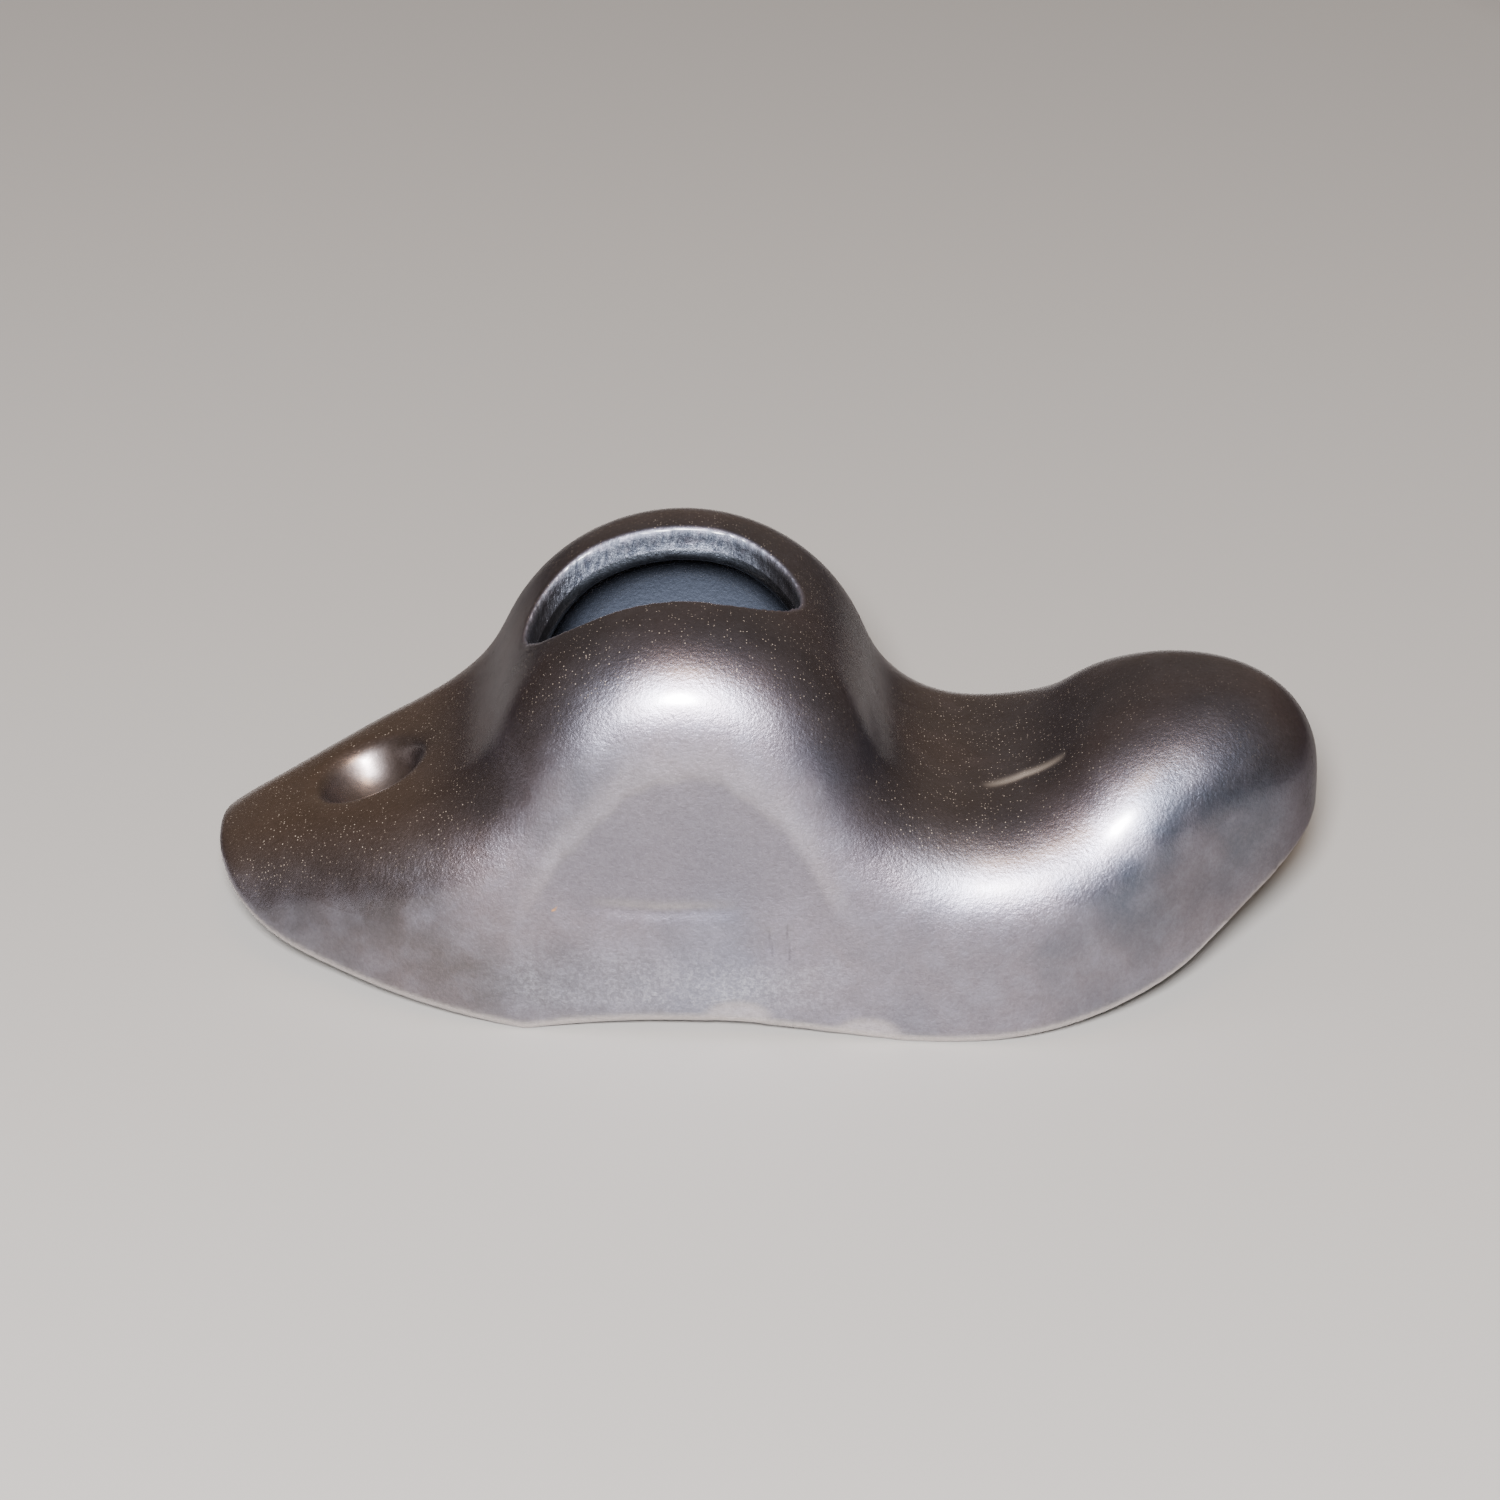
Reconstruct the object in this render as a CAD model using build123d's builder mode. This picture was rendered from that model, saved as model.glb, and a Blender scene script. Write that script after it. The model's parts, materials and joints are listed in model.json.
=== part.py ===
"""Stamped steel rocker arm, stud mounted, for an overhead-valve engine.

One blank of sheet steel, pressed into a boat-shaped trough. It stands upside down on the rims of
its side walls, so that the arched pivot seat, the pushrod cup and the valve pad face up. Lengths
are millimetres. +X points at the valve end, +Z up, and both sides of Y = 0 are alike. The sketches
are drawn round the pivot axis, and the finished arm is then set down over the origin.
"""

import os
from math import cos, radians, sin, sqrt, tan

from build123d import *

# Sheet
sheet = 2.8                 # thickness of the steel, the same all over
shoulder_radius = 7.5       # outside of the bend between the top and the side walls
rim_rounding = 0.8          # tumbled outer edge of the trimmed rim

# Pivot: the arched seat that rocks on the pivot ball, and the slot that the stud passes through
pivot_height = 16.8         # pivot axis above the rims
seat_radius = 12.2          # inside of the arch
body_width = 32.2           # over the side walls, beside the pivot
slot_width = 12.4
slot_length = 20.4
slot_lean = 10.5            # degrees, from upright towards the pushrod end
slot_land = 1.0             # smooth part of the cut, next to the seat
slot_break = 0.2            # the punch breaks out this much wider past the land

# Pushrod end
cup_distance = 24.0         # pivot axis to the middle of the cup
cup_drop = 3.15             # middle of the cup below the pivot axis
cup_radius = 4.0            # takes the ball of a 5/16 inch pushrod
cup_wall = 2.2              # the sheet is drawn thinner there
cup_lip = 1.0               # rounding of the cup's mouth
arm_slope = 23.0            # degrees, fall of the top towards the heel
arch_foot_radius = 12.0     # bend between the top of the arm and the arch
heel_reach = 37.6           # pivot axis to the end of the heel
heel_radius = 9.7           # heel seen from above
heel_taper = 28.7           # degrees, from the middle plane to the side wall

# Valve end
pad_distance = 40.2         # pivot axis to the crown of the valve pad
pad_rise = 7.4              # crown of the pad above the pivot axis
pad_radius = 15.9
valley_radius = 9.0         # hollow between the arch and the pad
toe_overhang = 8.3          # crown of the pad to the end of the toe
toe_radius = 9.0            # toe seen from above
toe_taper = 32.0            # degrees, from the middle plane to the side wall
flank_radius = 27.0         # bends between the parallel walls and the tapers

# Rim: the edge that the arm stands on, as seen from the side
heel_foot = 11.2            # pivot axis to the corner that the pushrod end stands on
heel_rim_slope = 10.0       # degrees
heel_rim_length = 16.4      # of the straight rim behind that corner
heel_rim_radius = 12.4
toe_foot = 18.7             # pivot axis to where the curved rim of the valve end stands
toe_rim_radius = 44.0
toe_rim_angle = 26.7        # degrees, slope of the rim where that curve ends
toe_rim_slope = 42.0        # degrees, of the straight rim under the toe
toe_rim_corner = 12.0       # radius between the two
waist_angle = 8.1           # degrees, where the curved rim turns into the waist between the feet

# Room that construction shapes have past the finished part
spare = 30.0


def pressed_block(inset):
    """Solid block under the top of the arm, with every face moved inwards by inset."""
    arch_radius = seat_radius + sheet
    pad_center = Vector(pad_distance, pad_rise - pad_radius)

    # The hollow's circle touches the arch and the pad.
    reach = pad_center.length
    to_hollow = arch_radius + valley_radius
    along = (to_hollow**2 - (pad_radius + valley_radius) ** 2 + reach**2) / (2 * reach)
    across = sqrt(to_hollow**2 - along**2)
    direction = pad_center.normalized()
    hollow_center = direction * along + direction.rotate(Axis.Z, 90) * across

    # The sloping top of the pushrod end, carried past the heel
    fall = tan(radians(arm_slope))
    top_at_pivot = cup_distance * fall - cup_drop
    heel_end = -(heel_reach + spare)
    floor_level = -(pivot_height + spare)

    # The plan's tapers start on the middle plane, outside the round heel and toe.
    heel_apex = -heel_reach + heel_radius - heel_radius / sin(radians(heel_taper))
    toe_reach = pad_distance + toe_overhang
    toe_apex = toe_reach - toe_radius + toe_radius / sin(radians(toe_taper))
    half_width = body_width / 2
    heel_bend = heel_apex + half_width / tan(radians(heel_taper))
    toe_bend = toe_apex - half_width / tan(radians(toe_taper))

    with BuildPart() as block:
        with BuildSketch(Plane.XZ) as side:
            Circle(arch_radius)
            with Locations(pad_center):
                Circle(pad_radius)
            with BuildLine():
                Polyline(
                    (0, 0),
                    hollow_center,
                    pad_center,
                    (pad_distance + pad_radius, pad_center.Y),
                    (pad_distance + pad_radius, floor_level),
                    (0, floor_level),
                    close=True,
                )
            make_face()
            with Locations(hollow_center):
                Circle(valley_radius, mode=Mode.SUBTRACT)
            with BuildLine():
                Polyline(
                    (0, floor_level),
                    (0, top_at_pivot),
                    (heel_end, top_at_pivot + heel_end * fall),
                    (heel_end, floor_level),
                    close=True,
                )
            make_face()
            left_half = side.vertices().filter_by_position(Axis.X, -arch_radius, -1)
            fillet(left_half.sort_by(Axis.Z)[-1], arch_foot_radius)
            if inset > 0:
                offset(amount=-inset, mode=Mode.REPLACE)
        extrude(amount=body_width, both=True)

        with BuildSketch(Plane.XY.offset(-(pivot_height + spare / 2))) as plan:
            with BuildLine():
                Polyline(
                    (heel_apex, 0),
                    (heel_bend, half_width),
                    (toe_bend, half_width),
                    (toe_apex, 0),
                    (toe_bend, -half_width),
                    (heel_bend, -half_width),
                    close=True,
                )
            make_face()
            fillet(plan.vertices().filter_by_position(Axis.X, heel_bend - 1, toe_bend + 1), flank_radius)
            fillet(plan.vertices().sort_by(Axis.X)[0], heel_radius)
            fillet(plan.vertices().sort_by(Axis.X)[-1], toe_radius)
            if inset > 0:
                offset(amount=-inset, mode=Mode.REPLACE)
        extrude(amount=pivot_height + arch_radius + spare, mode=Mode.INTERSECT)

        crest = block.edges().filter_by(Axis.Y, reverse=True).filter_by(Axis.Z, reverse=True)
        fillet(crest.filter_by(lambda edge: edge.center().Z > -pivot_height), shoulder_radius - inset)
    return block.part


# Trough of even thickness, then the cup pressed into it from above
cup_center = (-cup_distance, 0, -cup_drop)
outside = pressed_block(0)
inside = pressed_block(sheet)

# The cup's bump hangs below the top of the arm.
with BuildPart() as bump:
    add(outside)
    with Locations(cup_center):
        Sphere(cup_radius + cup_wall, mode=Mode.INTERSECT)

# Ball-nosed punch with a flared shoulder: it presses the cup square to the top of the arm.
slope = radians(arm_slope)
with BuildPart() as punch:
    with BuildSketch(Plane(cup_center, x_dir=(cos(slope), 0, sin(slope)), z_dir=(0, -1, 0))) as nose:
        Circle(cup_radius)
        Rectangle(2 * (cup_radius + cup_lip), cup_radius, align=(Align.CENTER, Align.MIN))
        fillet(nose.vertices().sort_by_distance((0, 0))[:2], cup_lip)
        Rectangle(3 * cup_radius, 3 * cup_radius, align=(Align.MAX, Align.CENTER), mode=Mode.SUBTRACT)
    revolve(axis=Axis(cup_center, (-sin(slope), 0, cos(slope))))

with BuildPart() as rocker_arm:
    add(outside)
    add(inside, mode=Mode.SUBTRACT)
    add(bump.part)

    # Trimmed rim: all below this line is cut away, square to the middle plane.
    with BuildSketch(Plane.XZ) as trim:
        with BuildLine():
            heel_corner = Vector(-heel_foot, -pivot_height)
            toe_low = Vector(toe_foot, -pivot_height)
            toe_center = toe_low + Vector(0, toe_rim_radius)
            curve_end = radians(toe_rim_angle)
            waist = radians(waist_angle)
            toe_line_start = toe_center + Vector(sin(curve_end), -cos(curve_end)) * toe_rim_radius
            waist_start = toe_center + Vector(-sin(waist), -cos(waist)) * toe_rim_radius
            toe_line = PolarLine(toe_line_start, spare, toe_rim_slope)
            RadiusArc(toe_line_start, waist_start, toe_rim_radius)
            TangentArc(waist_start, heel_corner, tangent=(-cos(waist), sin(waist)))
            heel_line = PolarLine(heel_corner, heel_rim_length, 180 - heel_rim_slope)
            heel_bow = JernArc(heel_line @ 1, heel_line % 1, heel_rim_radius, heel_rim_slope - 90)
            Polyline(
                heel_bow @ 1,
                (-heel_reach - spare, (heel_bow @ 1).Y + spare),
                (-heel_reach - spare, -pivot_height - 2 * spare),
                ((toe_line @ 1).X, -pivot_height - 2 * spare),
                toe_line @ 1,
            )
        make_face()
        fillet(trim.vertices().sort_by_distance(toe_line_start)[0], toe_rim_corner)
    extrude(amount=body_width, both=True, mode=Mode.SUBTRACT)

    # Tumbled outer edge of the rim
    cut_faces = rocker_arm.faces().filter_by(lambda face: round(face.normal_at().Z, 3) < 0)
    fillet(cut_faces.edges().filter_by(lambda edge: edge.distance_to(inside) > sheet / 2), rim_rounding)

    # Cup
    add(punch.part, mode=Mode.SUBTRACT)

    # Slot for the stud, pierced from inside: smooth at first, then broken out a little wider
    lean = radians(slot_lean)
    stud_plane = Plane((0, 0, 0), x_dir=(cos(lean), 0, sin(lean)), z_dir=(-sin(lean), 0, cos(lean)))
    with BuildSketch(stud_plane):
        SlotOverall(slot_length, slot_width)
    extrude(amount=2 * seat_radius, mode=Mode.SUBTRACT)
    with BuildPart(mode=Mode.SUBTRACT):
        with BuildSketch(stud_plane):
            SlotOverall(slot_length + 2 * slot_break, slot_width + 2 * slot_break)
        extrude(amount=2 * seat_radius)
        Cylinder(seat_radius + slot_land, body_width, rotation=(90, 0, 0), mode=Mode.SUBTRACT)

middle = rocker_arm.part.bounding_box().center().X
rocker_arm.part.position = (-middle, 0, pivot_height)
rocker_arm.part.label = "rocker_arm"

os.makedirs("parts", exist_ok=True)
export_step(rocker_arm.part, "parts/rocker_arm.step")
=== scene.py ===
import json
import math

import bmesh
import bpy
import numpy as np
from mathutils import Matrix, Vector


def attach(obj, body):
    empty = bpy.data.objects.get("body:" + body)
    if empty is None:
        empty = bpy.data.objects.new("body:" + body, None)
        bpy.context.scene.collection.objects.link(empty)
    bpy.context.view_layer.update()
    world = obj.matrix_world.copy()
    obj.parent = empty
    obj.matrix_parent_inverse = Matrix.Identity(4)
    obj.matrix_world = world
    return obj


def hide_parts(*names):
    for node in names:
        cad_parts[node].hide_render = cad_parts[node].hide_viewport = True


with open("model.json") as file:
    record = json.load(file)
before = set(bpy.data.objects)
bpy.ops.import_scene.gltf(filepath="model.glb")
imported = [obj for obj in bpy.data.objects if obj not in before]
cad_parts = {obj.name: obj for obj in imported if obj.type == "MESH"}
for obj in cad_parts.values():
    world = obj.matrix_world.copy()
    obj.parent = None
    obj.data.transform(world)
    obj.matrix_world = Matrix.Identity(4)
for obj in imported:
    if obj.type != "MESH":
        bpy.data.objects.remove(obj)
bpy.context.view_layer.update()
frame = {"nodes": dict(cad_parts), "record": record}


# ---- Camera ------------------------------------------------------------------------------------
# A long lens at a bench top's height, from in front of the side wall and a little above it. It is
# rolled slightly, and aimed at the pivot axis, which lies in the middle of the arched seat.
MM = 0.001
mounts = {mount["name"]: mount for mount in frame["record"]["mounts"]}
PIVOT = Vector(mounts["pivot_seat"]["pos_m"])

elevation, swing, roll = (math.radians(angle) for angle in (26.605, -0.768, 2.291))
distance = 475.56 * MM
lens_px = 6241.2
frame_px = 1500.0
aim_across_px, aim_down_px = 66.5, 8.8
ahead = Vector((
    -math.sin(swing) * math.cos(elevation),
    math.cos(swing) * math.cos(elevation),
    -math.sin(elevation),
))
right = ahead.cross(Vector((0, 0, 1))).normalized()
above = right.cross(ahead)
across = right * math.cos(roll) + above * math.sin(roll)
upward = above * math.cos(roll) - right * math.sin(roll)
aim = (ahead + (across * aim_across_px - upward * aim_down_px) / lens_px).normalized()
across = (across - aim * across.dot(aim)).normalized()
upward = across.cross(aim)
camera = bpy.data.objects.new("camera", bpy.data.cameras.new("camera"))
bpy.context.scene.collection.objects.link(camera)
turn = Matrix((across, upward, -aim)).transposed().to_4x4()
camera.matrix_world = Matrix.Translation(PIVOT - ahead * distance) @ turn
camera.data.sensor_width = 36.0
camera.data.lens = camera.data.sensor_width * lens_px / frame_px
camera.data.clip_start = 0.01
camera.data.clip_end = 20.0
bpy.context.scene.camera = camera


# ---- The pressed arm: form ---------------------------------------------------------------------
# One blank of sheet steel, pressed to a boat-shaped trough, pierced for the stud and tumbled to
# take off the burrs. The CAD solid is laid over with an even net, fine enough to carry the marks
# of the press, and relaxed without shrinking, which rounds each edge as the tumbler does.
net_size = 0.26 * MM
most_triangles = 190000


def realised(form, name):
    """The form's mesh with its modifiers applied. The form itself is removed."""
    bpy.context.view_layer.update()
    graph = bpy.context.evaluated_depsgraph_get()
    mesh = bpy.data.meshes.new_from_object(form.evaluated_get(graph))
    mesh.name = name
    bpy.data.objects.remove(form)
    return mesh


def stand(name, mesh):
    """Puts a mesh in the scene at the origin."""
    form = bpy.data.objects.new(name, mesh)
    bpy.context.scene.collection.objects.link(form)
    return form


shell = frame["nodes"]["rocker_arm"].data.copy()
shell.materials.clear()
welder = bmesh.new()
welder.from_mesh(shell)
bmesh.ops.remove_doubles(welder, verts=welder.verts, dist=0.0005 * MM)
welder.to_mesh(shell)
welder.free()

blank = stand("blank", shell)
net = blank.modifiers.new("net", "REMESH")
net.mode = "VOXEL"
net.voxel_size = net_size
net.use_smooth_shade = True
for turn_of_tumbler in range(8):
    for pull in (0.55, -0.57):
        tumbling = blank.modifiers.new("tumbling", "SMOOTH")
        tumbling.factor = pull
netted = realised(blank, "netted")

# Away from its cut edges the sheet flowed over the die, so one bend runs softly into the next.
normals = np.empty(len(netted.vertices) * 3)
netted.vertices.foreach_get("normal", normals)
normals = normals.reshape(-1, 3)
threads = np.empty(len(netted.edges) * 2, dtype=np.int32)
netted.edges.foreach_get("vertices", threads)
threads = threads.reshape(-1, 2)
turned = np.einsum("ij,ij->i", normals[threads[:, 0]], normals[threads[:, 1]])
reached = np.zeros(len(netted.vertices), dtype=bool)
reached[threads[turned < math.cos(math.radians(13))]] = True
rings = 9
calm = np.ones(len(netted.vertices))
for ring in range(rings):
    calm[reached & (calm == 1)] = (ring / rings) ** 2
    touching = reached[threads].any(axis=1)
    reached[threads[touching]] = True
# The lip of the cup was drawn and then rubbed round by the tumbler's stones.
places = np.empty(len(netted.vertices) * 3)
netted.vertices.foreach_get("co", places)
cup_gap = np.linalg.norm(places.reshape(-1, 3) - np.array(mounts["pushrod_cup"]["pos_m"]), axis=1) / MM
lip = np.exp(-((cup_gap - mounts["pushrod_cup"]["dims"]["r_mm"] - 0.3) / 1.2) ** 2)
calm = np.maximum(calm, np.where(lip > 0.1, np.round(0.45 * lip, 2), 0))
draped = stand("draped", netted)
soft_sheet = draped.vertex_groups.new(name="soft_sheet")
for weight in np.unique(calm):
    if weight > 0:
        soft_sheet.add(np.flatnonzero(calm == weight).tolist(), float(weight), "REPLACE")
flow = draped.modifiers.new("flow", "SMOOTH")
flow.vertex_group = soft_sheet.name
flow.factor = 0.5
flow.iterations = 160
pressed = realised(draped, "pressing")


# ---- The pressed arm: marks of the press and of use --------------------------------------------
# The die planished a bell-shaped patch of each side wall and left a crease across it, nicks at the
# rim, a dent on the valve end and a drawn line behind it. Each is pressed into the net here, in
# millimetres from the pivot axis.
points = np.empty(len(pressed.vertices) * 3)
pressed.vertices.foreach_get("co", points)
points = (points.reshape(-1, 3) - np.array(PIVOT)) / MM
normals = np.empty(len(pressed.vertices) * 3)
pressed.vertices.foreach_get("normal", normals)
normals = normals.reshape(-1, 3)
depth = np.zeros(len(points))


def track_distance(places, track):
    """Distance of each place to a track of straight runs, and the share of the way along it."""
    track = np.array(track, float)
    nearest = np.full(len(places), np.inf)
    share = np.zeros(len(places))
    for step, (start, end) in enumerate(zip(track[:-1], track[1:])):
        run = end - start
        along = np.clip((places - start) @ run / (run @ run), 0, 1)
        gap = np.linalg.norm(places - start - along[:, None] * run, axis=1)
        closer = gap < nearest
        nearest[closer] = gap[closer]
        share[closer] = (step + along[closer]) / (len(track) - 1)
    return nearest, share


def groove(track, width, deep):
    """A groove along a track, deepest halfway and running out at both ends."""
    gap, share = track_distance(points, track)
    return deep * np.exp(-(gap / width) ** 2) * np.sin(np.pi * share) ** 0.6


def soft_step(value, edge, blur):
    """0 below the edge, 1 above it, with a soft change over the blur."""
    return 1 / (1 + np.exp(-np.clip((value - edge) / blur, -30, 30)))


def bell(places):
    """Height of a place under the arch that bounds the pressed patch and its painted shade, in millimetres.
    """
    lumps = 0.3 * np.sin(1.9 * places[:, 0]) * np.cos(0.8 * places[:, 0] + 0.6)
    return 5.1 - 0.086 * (places[:, 0] - 0.4) ** 2 + lumps - places[:, 2]


def slot_gap(places):
    """Distance of a place outside the wall of the stud slot, in millimetres."""
    way = mounts["stud_slot"]["axis"]
    half_length = mounts["stud_slot"]["dims"]["slot_length_mm"] / 2
    half_width = mounts["stud_slot"]["dims"]["r_mm"]
    along = np.abs(places[:, 0] * way[2] - places[:, 2] * way[0])
    return np.hypot(np.maximum(along - (half_length - half_width), 0), places[:, 1]) - half_width


side = np.abs(points[:, 1]) > 14.0
depth += np.where(side, 0.045 * soft_step(bell(points), 0.0, 0.12) * soft_step(points[:, 2], -5.2, 0.8), 0)
near_side = points[:, 1] < -14.0
crease = [(-7.2, -16.1, -5.9), (-1.4, -16.1, -6.25), (4.6, -16.1, -5.8)]
depth += np.where(near_side, groove(crease, 0.6, 0.11), 0)
depth += np.where(near_side, groove([(6.7, -16.1, -7.2), (7.1, -16.1, -9.6)], 0.2, 0.07), 0)
depth += np.where(near_side, groove([(8.1, -16.1, -6.9), (8.4, -16.1, -9.9)], 0.2, 0.06), 0)
depth += groove([(22.6, -5.5, -0.16), (25.8, -4.6, 0.5), (28.9, -5.0, 2.5)], 0.55, 0.16)
drawn_line = [(14.8, 2.6, 3.9), (18.1, 5.0, 0.9), (21.3, 5.2, -0.1), (24.4, 5.0, 0.1), (28.6, 3.8, 2.4)]
depth += groove(drawn_line, 0.35, 0.03)
for nick_x, nick_z in ((4.7, -14.9), (14.5, -16.0)):
    off = np.hypot((points[:, 0] - nick_x) / 2.3, (points[:, 2] - nick_z) / 1.15)
    depth += np.where(near_side, 0.07 * soft_step(-off, -1.0, 0.08), 0)

moved = (points - depth[:, None] * normals) * MM + np.array(PIVOT)
pressed.vertices.foreach_set("co", moved.ravel())
pressed.update()

# The stones of the tumbler took the sharpness off the punched edges of the slot.
arm = stand("pressed_arm", pressed)
slot_edge = arm.vertex_groups.new(name="slot_edge")
worn = np.round(np.exp(-(slot_gap(points) / 0.6) ** 2) * (points[:, 2] > 0), 1)
for weight in np.unique(worn[worn > 0]):
    slot_edge.add(np.flatnonzero(worn == weight).tolist(), float(weight), "REPLACE")
dulling = arm.modifiers.new("dulling", "SMOOTH")
dulling.vertex_group = slot_edge.name
dulling.factor = 0.5
dulling.iterations = 14
thinning = arm.modifiers.new("thinning", "DECIMATE")
thinning.ratio = most_triangles / (2 * len(pressed.polygons))
arm_mesh = realised(arm, "pressed_arm")
arm_mesh.shade_smooth()
arm = stand("pressed_arm", arm_mesh)


# ---- The pressed arm: finish -------------------------------------------------------------------
# Case-hardened steel, tumbled in stone and left under a thin film of oil: a satin metal, bluer at
# the valve end and browner at the pushrod end where the heat tinted it and painted shade darkens the
# walls, with bright torn steel in the slot and grit in the oil on top. Some marks below are painted
# shade, painted highlights and painted reflections laid into the colour.
points = np.empty(len(arm_mesh.vertices) * 3)
arm_mesh.vertices.foreach_get("co", points)
points = (points.reshape(-1, 3) - np.array(PIVOT)) / MM
normals = np.empty(len(arm_mesh.vertices) * 3)
arm_mesh.vertices.foreach_get("normal", normals)
normals = normals.reshape(-1, 3)


def paint(name, values):
    """Stores a value on each point of the arm, for the material to read."""
    layer = arm_mesh.attributes.new(name, "FLOAT", "POINT")
    layer.data.foreach_set("value", values.astype(np.float32))


seat_r = mounts["pivot_seat"]["dims"]["r_mm"]
reach = np.hypot(points[:, 0], points[:, 2])
paint("off_wall", slot_gap(points))
paint("past_land", reach - (seat_r + 1.0))
slot_axis = mounts["stud_slot"]["axis"]
paint("slot_run", np.abs(points[:, 0] * slot_axis[2] - points[:, 2] * slot_axis[0])
      / (mounts["stud_slot"]["dims"]["slot_length_mm"] / 2))
flat = soft_step(np.abs(points[:, 1]), 15.75, 0.08)
# Painted shade on the flat bell patch of each side wall, and a painted highlight in a band round it where the
# wall starts to bend.
paint("flat_wall_shade", flat * soft_step(bell(points), 0.0, 0.25) * soft_step(points[:, 2], -5.4, 0.8))
paint("bend_highlight", flat * soft_step(bell(points), -2.6, 0.5) * soft_step(-bell(points), 0.0, 0.25)
      * soft_step(-np.abs(points[:, 0]), -12.5, 1.2) * soft_step(points[:, 2], -6.5, 1.0))
facing_in = -(normals * points).sum(axis=1) / np.linalg.norm(points, axis=1)
in_arch = soft_step(-reach, -(seat_r + 0.3), 0.1) * (points[:, 2] > -6)
paint("scaled", soft_step(facing_in, 0.25, 0.1) * in_arch)
nicks = np.zeros(len(points))
for nick_x, nick_z in ((4.7, -14.9), (14.5, -16.0)):
    off = np.hypot((points[:, 0] - nick_x) / 2.3, (points[:, 2] - nick_z) / 1.15)
    nicks += np.where(points[:, 1] < -15.0, soft_step(-off, -1.0, 0.08), 0)
paint("nicks", nicks)
# Along the dent streak, for a pale painted highlight laid on with the grit's colour.
parted, run = track_distance(points, [(22.6, -5.5, -0.3), (25.8, -4.6, 0.5), (28.9, -5.0, 2.5)])
paint("dent_highlight", np.exp(-(parted / 0.42) ** 2) * np.sin(np.pi * run) ** 0.8)
below_pivot = soft_step(points[:, 0], -11, 1) * soft_step(-points[:, 0], -9, 1.5)
# A low band of the wall below the pivot, for a painted sheen.
paint("wall_sheen", flat * np.exp(-((points[:, 2] + 12.6) / 1.5) ** 2) * below_pivot)
scratches = (
    [(6.6, -16.1, -7.1), (7.1, -16.1, -9.6)],
    [(8.0, -16.1, -6.9), (8.4, -16.1, -9.9)],
    [(20.5, -16.1, -7.7), (21.2, -16.1, -12.0)],
)
paint("scratch", np.min([track_distance(points, track)[0] for track in scratches], axis=0))
# Painted shade: faces that look along the arm, darkened in the material.
end_on = soft_step(np.abs(normals[:, 0]), 0.55, 0.1) * (points[:, 2] > -9)
paint("end_face_shade", end_on)
# Faces that look down, mostly the rounded rim, lit up in the material as a painted reflection of the floor.
paint("edge", soft_step(-normals[:, 2], 0.14, 0.05))
cup_gap = np.linalg.norm(points - (np.array(mounts["pushrod_cup"]["pos_m"]) - np.array(PIVOT)) / MM, axis=1)
paint("burnished", soft_step(-cup_gap, -(mounts["pushrod_cup"]["dims"]["r_mm"] + 0.35), 0.1))
rust_gap = np.linalg.norm(points - (-9.1, -16.1, -6.3), axis=1)
paint("rust_gap", rust_gap)
paint("toward_toe", (points[:, 0] + 35) / 83)
on_heel = soft_step(-points[:, 0], 17.0, 3.0)
in_valley = soft_step(points[:, 0], 12.0, 2.0) * soft_step(-points[:, 0], -23.0, 2.0)
# Up-facing faces on the heel, and less in the valley, for a brown painted reflection of the room.
paint("top_reflection", soft_step(normals[:, 2], 0.72, 0.14) * np.maximum(on_heel, 0.4 * in_valley))


def linear(code):
    """sRGB hex to a linear colour."""
    parts = [int(code[i:i + 2], 16) / 255 for i in (1, 3, 5)]
    return tuple(v / 12.92 if v <= 0.04045 else ((v + 0.055) / 1.055) ** 2.4 for v in parts) + (1.0,)


def add(tree, kind, inputs=None, **settings):
    """One node: its settings, then its inputs, each a value or a socket to link."""
    made = tree.nodes.new(kind)
    for name, value in settings.items():
        setattr(made, name, value)
    for name, value in (inputs or {}).items():
        if isinstance(value, bpy.types.NodeSocket):
            tree.links.new(value, made.inputs[name])
        else:
            made.inputs[name].default_value = value
    return made


def noise(tree, place, size, detail=3.0, roughness=0.55):
    """Value noise whose largest blobs have that size in metres."""
    grown = {"Vector": place, "Scale": 1 / size, "Detail": detail, "Roughness": roughness}
    return add(tree, "ShaderNodeTexNoise", grown).outputs["Fac"]


def ramp(tree, value, low, high, to_low=0.0, to_high=1.0):
    """Maps a value's range to another, held at both ends."""
    span = {"Value": value, "From Min": low, "From Max": high, "To Min": to_low, "To Max": to_high}
    return add(tree, "ShaderNodeMapRange", span).outputs["Result"]


def blend(tree, share, first, second):
    """Mixes two colours."""
    return add(tree, "ShaderNodeMix", {"Factor": share, "A": first, "B": second}, data_type="RGBA").outputs[2]


def sums(tree, operation, first, second):
    """Arithmetic on two values."""
    made = add(tree, "ShaderNodeMath", operation=operation)
    for slot, value in zip(made.inputs, (first, second)):
        if isinstance(value, bpy.types.NodeSocket):
            tree.links.new(value, slot)
        else:
            slot.default_value = value
    return made.outputs[0]


def painted(tree, name):
    """A share stored on the arm by paint()."""
    return add(tree, "ShaderNodeAttribute", attribute_name=name).outputs["Fac"]


steel = bpy.data.materials.new("pressed_steel")
steel.use_nodes = True
tree = steel.node_tree
tree.nodes.clear()
place = add(tree, "ShaderNodeTexCoord").outputs["Object"]
facing = add(tree, "ShaderNodeNewGeometry").outputs["Normal"]
split = add(tree, "ShaderNodeSeparateXYZ", {"Vector": facing})
up = split.outputs["Z"]
walled = ramp(tree, sums(tree, "ABSOLUTE", split.outputs["Y"], 0.0), 0.35, 0.85)
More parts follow.
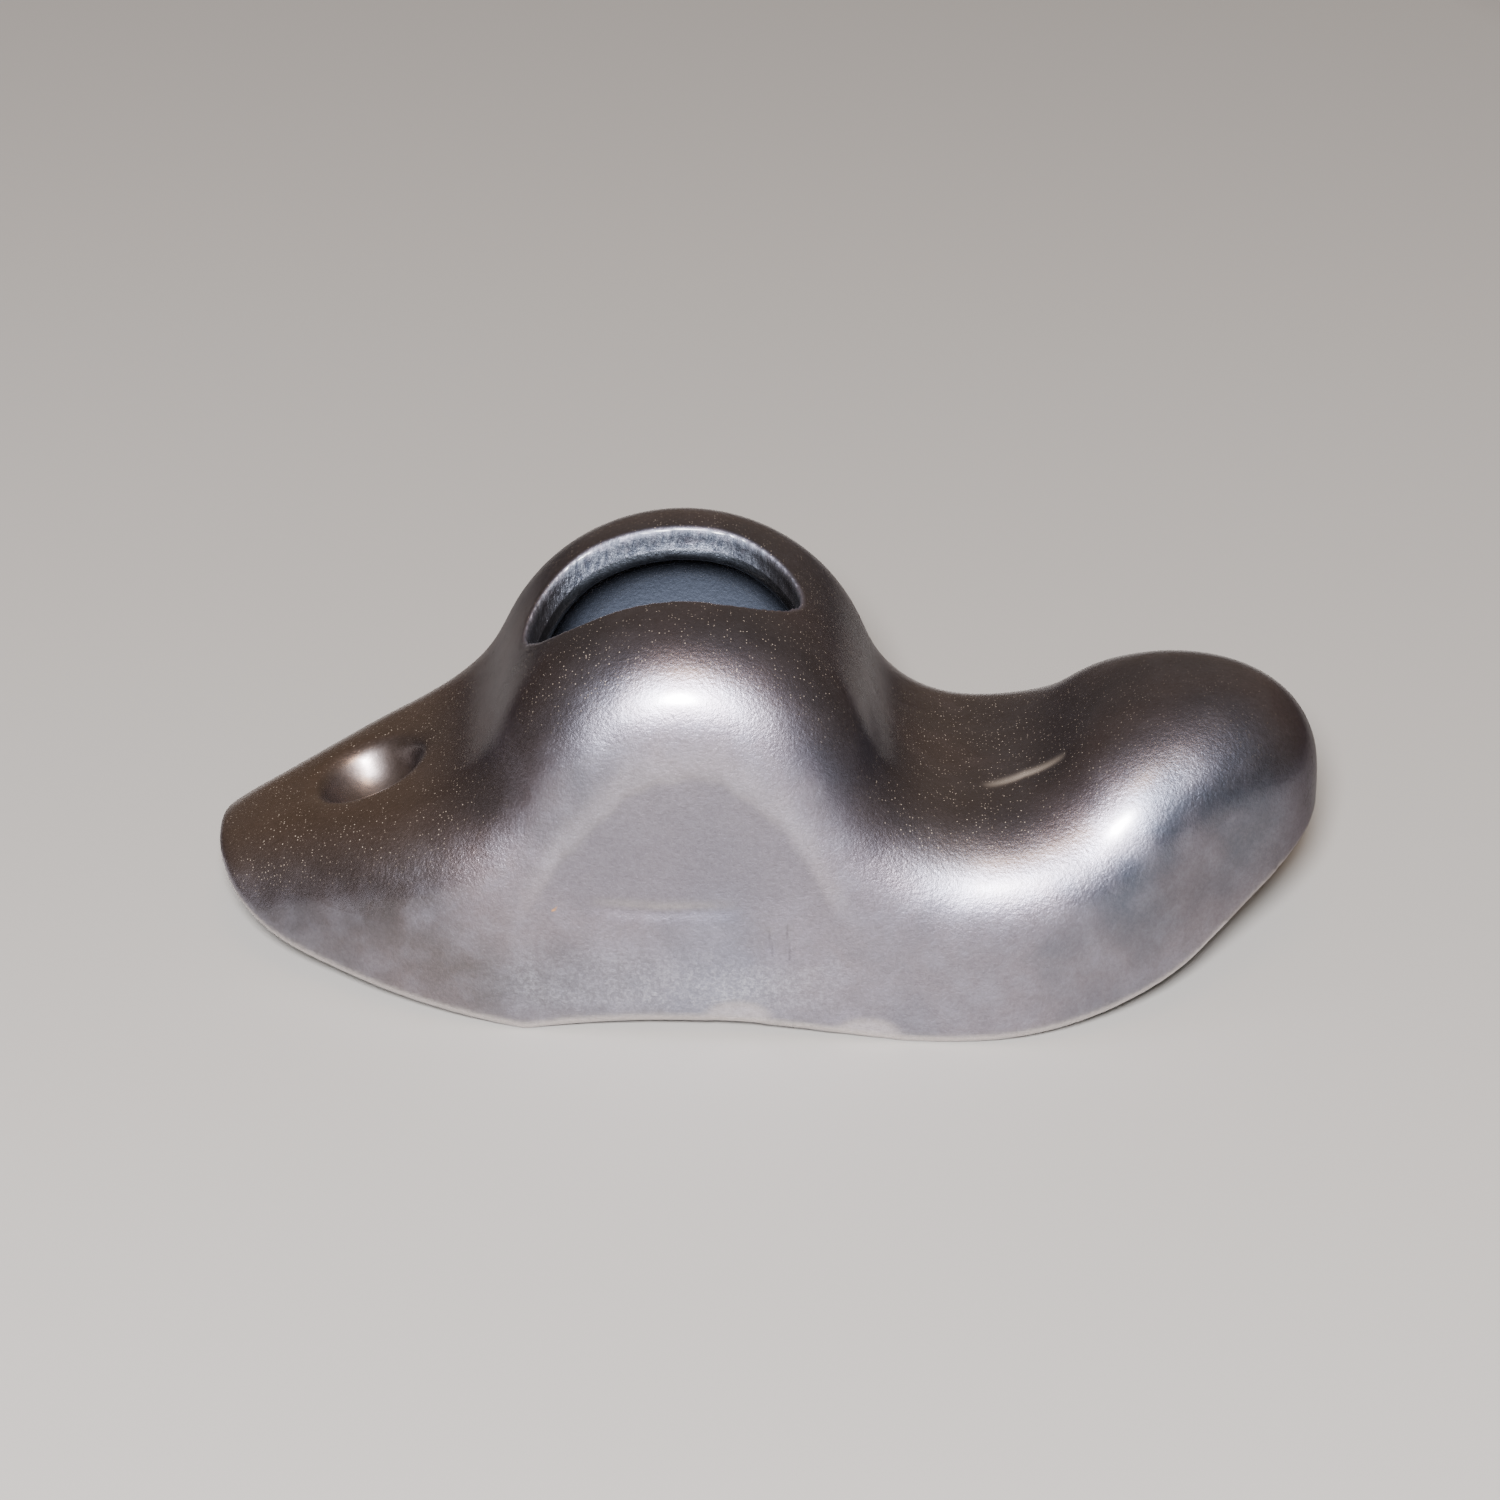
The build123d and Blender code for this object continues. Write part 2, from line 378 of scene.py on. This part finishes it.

# Heat tint: brown at the pushrod end, lilac beside the pivot, blue-grey at the valve end. The brown on
# the pushrod end's walls is also made darker as painted shade.
toward_toe = painted(tree, "toward_toe")
heel_tint_and_shade = sums(tree, "MULTIPLY", ramp(tree, toward_toe, 0.24, 0.46, 1.0, 0.0), walled)
toe_share = sums(tree, "MULTIPLY", ramp(tree, toward_toe, 0.52, 0.7), walled)
tint = blend(tree, heel_tint_and_shade, linear("#7b7d90"), linear("#4d4649"))
tint = blend(tree, toe_share, tint, linear("#505b6e"))
stain = noise(tree, place, 8 * MM, 5.0, 0.62)
tint = blend(tree, ramp(tree, stain, 0.35, 0.65, 0.0, 0.8), tint, linear("#61606c"))
mottle = noise(tree, place, 3.2 * MM, 5.0, 0.6)
blush = noise(tree, place, 13 * MM, 3.0, 0.5)
tint = blend(tree, ramp(tree, blush, 0.42, 0.6, 0.0, 0.5), tint, linear("#8a7c84"))
tint = blend(tree, ramp(tree, mottle, 0.45, 0.75, 0.0, 0.32), tint, linear("#9fa2b6"))

# What the press and the years did to the wall: scratches and nicks. Beside them, painted light: painted
# shade on the flat bell patch and a painted highlight round it, a painted sheen in a low band, and a
# painted reflection along the rim edge.
# Painted shade on the flat bell patch, then a painted highlight round it.
tint = blend(tree, sums(tree, "MULTIPLY", painted(tree, "flat_wall_shade"), 0.8), tint, linear("#6d6773"))
tint = blend(tree, sums(tree, "MULTIPLY", painted(tree, "bend_highlight"), 0.3), tint, linear("#b8b0b6"))
# Painted sheen on the low band, broken into glints.
glint = ramp(tree, noise(tree, place, 0.3 * MM, 4.0, 0.7), 0.45, 0.68, 0.25, 0.85)
tint = blend(tree, sums(tree, "MULTIPLY", painted(tree, "wall_sheen"), glint), tint, linear("#bfc0cc"))
tint = blend(tree, ramp(tree, painted(tree, "scratch"), 0.05, 0.17, 0.6, 0.0), tint, linear("#4c4852"))
tint = blend(tree, sums(tree, "MULTIPLY", painted(tree, "nicks"), 0.6), tint, linear("#c9c0c4"))
# Painted reflection: the rim's downward faces lightened.
tint = blend(tree, sums(tree, "MULTIPLY", painted(tree, "edge"), 0.85), tint, linear("#dcd6d4"))

# The slot's wall: a smooth sheared land next to the seat, and torn steel above it, with painted
# shade that darkens it towards the ends of the slot.
off_wall, past_land = painted(tree, "off_wall"), painted(tree, "past_land")
rags = noise(tree, place, 0.7 * MM, 4.0, 0.7)
ragged = sums(tree, "ADD", off_wall, ramp(tree, rags, 0.3, 0.7, -0.14, 0.14))
in_slot = ramp(tree, ragged, 0.16, 0.42, 1.0, 0.0)
wall = sums(tree, "MULTIPLY", in_slot, ramp(tree, past_land, -1.02, -0.96))
torn = sums(tree, "MULTIPLY", wall, ramp(tree, past_land, 0.0, 0.1))
sheared = sums(tree, "MULTIPLY", wall, ramp(tree, past_land, 0.0, 0.1, 1.0, 0.0))
from_edge = sums(tree, "ABSOLUTE", sums(tree, "SUBTRACT", off_wall, 0.25), 0.0)
brink = sums(tree, "MULTIPLY", ramp(tree, from_edge, 0.1, 0.5, 1.0, 0.0), ramp(tree, past_land, 1.0, 1.5))
lines_place = add(tree, "ShaderNodeMapping", {"Vector": place, "Scale": (1.0, 1.0, 0.22)}).outputs["Vector"]
drag = noise(tree, lines_place, 0.34 * MM, 4.0, 0.75)
torn_tint = blend(tree, ramp(tree, drag, 0.4, 0.62), linear("#454a57"), linear("#7b8190"))
tint = blend(tree, torn, tint, torn_tint)
# Painted shade on the torn wall towards the slot's ends.
ends = sums(tree, "MULTIPLY", torn, ramp(tree, painted(tree, "slot_run"), 0.55, 0.98, 0.0, 0.75))
tint = blend(tree, ends, tint, linear("#2e323b"))
tint = blend(tree, sheared, tint, linear("#4d525c"))

# Painted shade where a face looks along the arm, and a brown painted reflection of the room on the
# heel's upward faces and, less, in the valley; burnished clean in the cup. One speck of rust, and
# blue-grey scale inside the arch.
# Painted shade on faces that look along the arm.
tint = blend(tree, sums(tree, "MULTIPLY", painted(tree, "end_face_shade"), 0.4), tint, linear("#5e5450"))
# Brown painted reflection of the room on the heel's upward faces, weaker in the valley.
tint = blend(tree, sums(tree, "MULTIPLY", painted(tree, "top_reflection"), 0.65), tint, linear("#ad9682"))
tint = blend(tree, sums(tree, "MULTIPLY", painted(tree, "burnished"), 0.8), tint, linear("#7d7372"))
rust = ramp(tree, painted(tree, "rust_gap"), 0.28, 0.5, 1.0, 0.0)
tint = blend(tree, rust, tint, linear("#e09a40"))
scaled = painted(tree, "scaled")
tint = blend(tree, scaled, tint, linear("#4a505e"))

# Tumbled grain, finer than a tenth of a millimetre in the real steel and drawn at three tenths, as
# coarse as it needs to show. The ripple under it breaks the edge of each highlight.
grain = noise(tree, place, 0.3 * MM, 4.0, 0.7)
ripple = noise(tree, place, 1.6 * MM, 4.0, 0.6)
rough = ramp(tree, stain, 0.3, 0.7, 0.33, 0.41)
rough = sums(tree, "SUBTRACT", rough, sums(tree, "MULTIPLY", painted(tree, "edge"), 0.12))
rough = sums(tree, "ADD", rough, sums(tree, "MULTIPLY", torn, 0.12))
rough = sums(tree, "ADD", rough, sums(tree, "MULTIPLY", scaled, 0.25))
rough = sums(tree, "ADD", rough, sums(tree, "MULTIPLY", brink, 0.2))
fine = add(tree, "ShaderNodeBump", {"Height": ripple, "Strength": 0.25, "Distance": 0.05 * MM})
fine = add(tree, "ShaderNodeBump", {
    "Height": grain, "Strength": ramp(tree, painted(tree, "burnished"), 0.0, 1.0, 0.9, 0.12),
    "Distance": 0.05 * MM, "Normal": fine.outputs["Normal"],
})

# Torn face of the slot: fine upright lines that the punch dragged through the steel.
tear = add(tree, "ShaderNodeBump", {
    "Height": drag, "Strength": sums(tree, "MULTIPLY", torn, 0.9),
    "Distance": 0.12 * MM, "Normal": fine.outputs["Normal"],
})

# Painted shade also darkens the specular tint where a face looks along the arm; torn steel and the slot's
# brink are made duller.
dull_and_shade_share = sums(tree, "MAXIMUM", painted(tree, "end_face_shade"), sums(tree, "MULTIPLY", torn, 0.5))
dull_and_shade_share = sums(tree, "MAXIMUM", dull_and_shade_share, sums(tree, "MULTIPLY", brink, 0.9))
sparkle = ramp(tree, grain, 0.3, 0.7, 0.82, 1.14)
sparkle = add(tree, "ShaderNodeCombineXYZ", {"X": sparkle, "Y": sparkle, "Z": sparkle}).outputs[0]
tint = add(tree, "ShaderNodeVectorMath", {0: tint, 1: sparkle}, operation="MULTIPLY").outputs[0]
surface = add(tree, "ShaderNodeBsdfPrincipled", {
    "Base Color": tint, "Metallic": 1.0, "Roughness": rough, "Normal": tear.outputs["Normal"],
    "Coat Weight": sums(tree, "SUBTRACT", 1.0, sums(tree, "MULTIPLY", dull_and_shade_share, 0.7)),
    "Coat Roughness": 0.22, "Coat IOR": 1.6,
    "Specular Tint": blend(tree, dull_and_shade_share, linear("#c8c2c4"), linear("#6d625c")),
})

# Grit and lint in the oil: dull pale specks on what faces up, drawn a quarter of a millimetre
# apart, which is coarser than the real dust. The dent streak gets the same dull pale colour as a painted
# highlight.
cells = add(tree, "ShaderNodeTexVoronoi", {"Vector": place, "Scale": 1 / (0.24 * MM), "Randomness": 1.0})
close = ramp(tree, cells.outputs["Distance"], 0.12, 0.24, 1.0, 0.0)
chance = add(tree, "ShaderNodeSeparateColor", {"Color": cells.outputs["Color"]}).outputs["Red"]
picked = ramp(tree, chance, 0.45, 1.0)
lying = ramp(tree, up, 0.3, 0.7)
drift = ramp(tree, noise(tree, place, 5 * MM, 4.0, 0.7), 0.24, 0.56)
drift = sums(tree, "MULTIPLY", drift, ramp(tree, toward_toe, 0.72, 0.86, 1.0, 0.25))
dust_and_dent_highlight = sums(tree, "MULTIPLY", sums(tree, "MULTIPLY", close, picked), sums(tree, "MULTIPLY", lying, drift))
wiped = ramp(tree, painted(tree, "burnished"), 0.0, 1.0, 1.0, 0.0)
dust_and_dent_highlight = sums(tree, "MULTIPLY", dust_and_dent_highlight, wiped)
dust_and_dent_highlight = sums(tree, "MAXIMUM", dust_and_dent_highlight, sums(tree, "MULTIPLY", painted(tree, "dent_highlight"), 0.5))
pale_dull_bsdf = add(tree, "ShaderNodeBsdfPrincipled", {"Base Color": linear("#8c8075"), "Roughness": 0.8})
speckled_mix = add(tree, "ShaderNodeMixShader", {0: dust_and_dent_highlight, 1: surface.outputs["BSDF"], 2: pale_dull_bsdf.outputs["BSDF"]})
add(tree, "ShaderNodeOutputMaterial", {"Surface": speckled_mix.outputs["Shader"]})
arm_mesh.materials.append(steel)
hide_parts("rocker_arm")
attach(arm, "root")


# ---- Bench and light ---------------------------------------------------------------------------
# A sheet of pale paper on a brown bench, which its edge fades into out of the picture. One soft
# flash by the camera, a warm soft box above it, and a dim warm room.
bench = bpy.data.meshes.new("floor")
half = 1.5
corners = [(-half, -half, 0), (half, -half, 0), (half, half, 0), (-half, half, 0)]
bench.from_pydata(corners, [], [(0, 1, 2, 3)])
floor = stand("floor", bench)
paper = bpy.data.materials.new("pale_floor")
paper.use_nodes = True
tree = paper.node_tree
dull = tree.nodes["Principled BSDF"]
dull.inputs["Roughness"].default_value = 0.8
spot = add(tree, "ShaderNodeTexCoord").outputs["Object"]
sheet = add(tree, "ShaderNodeVectorMath", {0: spot, 1: (1.0, 0.42, 1.0)}, operation="MULTIPLY").outputs[0]
away = add(tree, "ShaderNodeVectorMath", {0: sheet}, operation="LENGTH").outputs["Value"]
fade = blend(tree, ramp(tree, away, 0.12, 0.17), linear("#918e8c"), linear("#2e2925"))
tree.links.new(fade, dull.inputs["Base Color"])
bench.materials.append(paper)

room = bpy.data.worlds.new("room")
room.use_nodes = True
room.node_tree.nodes["Background"].inputs["Color"].default_value = linear("#483d31")
room.node_tree.nodes["Background"].inputs["Strength"].default_value = 2.7
bpy.context.scene.world = room


def soft_box(name, azimuth, height, distance, size, power, tint):
    """Area light facing the pivot from that bearing in degrees. Azimuth 0 is the camera's side."""
    lamp = bpy.data.lights.new(name, "AREA")
    lamp.shape = "DISK"
    lamp.size = size
    lamp.energy = power
    lamp.color = linear(tint)[:3]
    a, e = math.radians(azimuth), math.radians(height)
    way = Vector((math.sin(a) * math.cos(e), -math.cos(a) * math.cos(e), math.sin(e)))
    holder = bpy.data.objects.new(name, lamp)
    facing_pivot = way.to_track_quat("Z", "Y").to_matrix().to_4x4()
    holder.matrix_world = Matrix.Translation(PIVOT + way * distance) @ facing_pivot
    bpy.context.scene.collection.objects.link(holder)


soft_box("flash", -2.9, 31.0, 0.6, 0.08, 20.0, "#ffffff")
soft_box("warm_box", 0.0, 58.0, 0.7, 0.22, 1.1, "#ffc88c")
soft_box("low_box", 2.0, 4.0, 0.7, 0.14, 0.4, "#e4e4ff")
